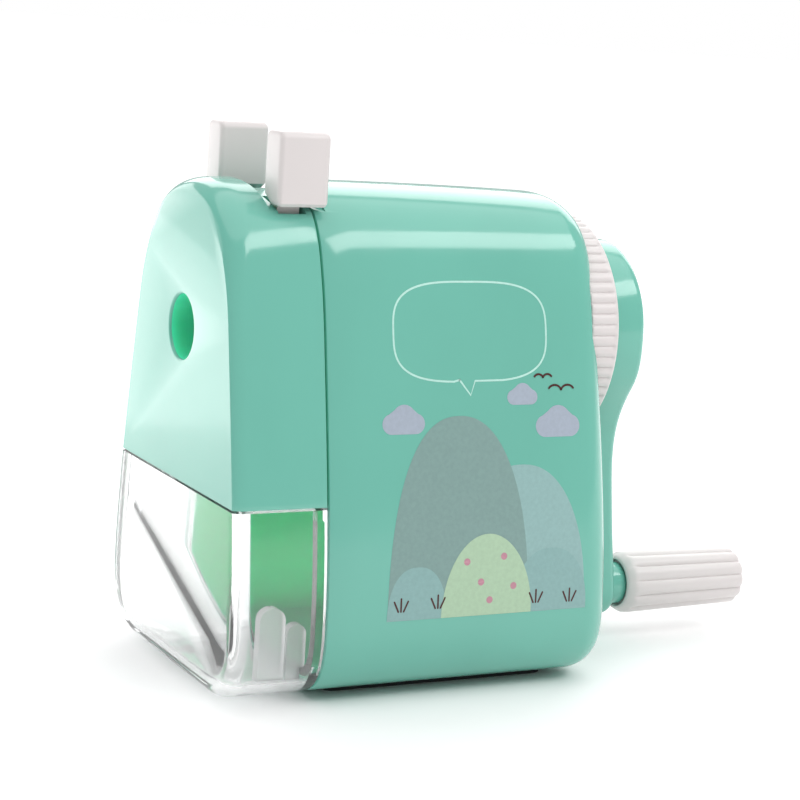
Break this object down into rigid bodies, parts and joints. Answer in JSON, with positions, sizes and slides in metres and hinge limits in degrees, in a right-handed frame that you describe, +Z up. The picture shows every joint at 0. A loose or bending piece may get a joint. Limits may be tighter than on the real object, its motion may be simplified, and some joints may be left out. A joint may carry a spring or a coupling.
{
  "type": "crank pencil sharpener",
  "caption": "Desktop pencil sharpener turned by a rear crank, with a pull-out sprung front cover, squeeze buttons and a clear shavings drawer.",
  "frame": {"origin": "on the table under the foot pad, on the middle plane, 16 mm behind the pad's front edge", "axes": "+Z up, -Y towards the pencil side (front), +Y towards the crank, +X to the right seen from the crank's opposite side when looking along +Y"},
  "size_m": [0.0574, 0.1185, 0.0949],
  "materials": {
    "mint_plastic": "glossy injection-moulded ABS",
    "white_plastic": "satin injection-moulded ABS",
    "clear_plastic": "clear moulded polystyrene",
    "black_plastic": "matt",
    "foot_rubber": "matt",
    "steel": "bright",
    "alloy": "die-cast, satin",
    "gear_brass": "satin"
  },
  "bodies": {
    "base": {"body_shell": "mint_plastic", "foot_pad": "foot_rubber", "chip_deck": "mint_plastic", "inner_plate": "mint_plastic", "plate_screw_left": "steel", "plate_screw_right": "steel", "cutter_housing": "black_plastic", "pencil_guide": "white_plastic", "ring_gear": "alloy", "rear_bearing": "white_plastic", "return_spring_left": "steel", "return_spring_right": "steel"},
    "cover": {"front_cover": "mint_plastic", "guide_rod_left": "steel", "guide_rod_right": "steel", "rod_collar_left": "white_plastic", "rod_collar_right": "white_plastic", "jaw_pin_left": "steel", "jaw_pin_right": "steel", "jaw_spring_left": "steel", "jaw_spring_right": "steel"},
    "jaw_left": {"jaw_lever_left": "white_plastic", "jaw_tooth_left": "steel"},
    "jaw_right": {"jaw_lever_right": "white_plastic", "jaw_tooth_right": "steel"},
    "drawer_box": {"drawer": "clear_plastic"},
    "crank": {"cutter_carrier": "alloy", "cutter_pin": "steel", "crank_shaft": "steel", "crank_arm": "mint_plastic", "crank_screw": "steel", "knob_pin": "steel"},
    "cutter": {"helical_cutter": "steel", "cutter_pinion": "gear_brass"},
    "knob": {"crank_knob": "white_plastic"},
    "ring": {"lock_ring": "white_plastic"}
  },
  "joints": [
    {"name": "cover_slide", "type": "slide", "parent": "base", "child": "cover", "axis": [0, -1, 0], "range_m": [0, 0.03], "stiffness_N_per_m": 60, "springref_m": -0.01, "deforming": ["return_spring_left", "return_spring_right"]},
    {"name": "jaw_left_turn", "type": "hinge", "parent": "cover", "child": "jaw_left", "pos_m": [-0.0095, -0.0245, 0.0725], "axis": [0, 1, 0], "range_deg": [0, 13], "stiffness_Nm_per_rad": 0.02, "springref_deg": -11.46, "deforming": ["jaw_spring_left"]},
    {"name": "jaw_right_turn", "type": "hinge", "parent": "cover", "child": "jaw_right", "pos_m": [0.0095, -0.0245, 0.0725], "axis": [0, -1, 0], "range_deg": [0, 13], "stiffness_Nm_per_rad": 0.02, "springref_deg": -11.46, "deforming": ["jaw_spring_right"]},
    {"name": "drawer_slide", "type": "slide", "parent": "base", "child": "drawer_box", "axis": [0, -1, 0], "range_m": [0, 0.045]},
    {"name": "crank_turn", "type": "hinge", "parent": "base", "child": "crank", "pos_m": [0, 0.03, 0.0605], "axis": [0, 1, 0], "continuous": true},
    {"name": "cutter_spin", "type": "hinge", "parent": "crank", "child": "cutter", "pos_m": [0, -0.005, 0.0516], "axis": [0, 0.9815, 0.1914], "continuous": true},
    {"name": "knob_spin", "type": "hinge", "parent": "crank", "child": "knob", "pos_m": [0, 0.0675, 0.0102], "axis": [0, 1, 0], "continuous": true},
    {"name": "ring_turn", "type": "hinge", "parent": "base", "child": "ring", "pos_m": [0, 0.036, 0.0605], "axis": [0, 1, 0], "range_deg": [0, 40]}
  ],
  "couplings": [
    {"joint": "cutter_spin", "follows": "crank_turn", "ratio": -3.2}
  ]
}
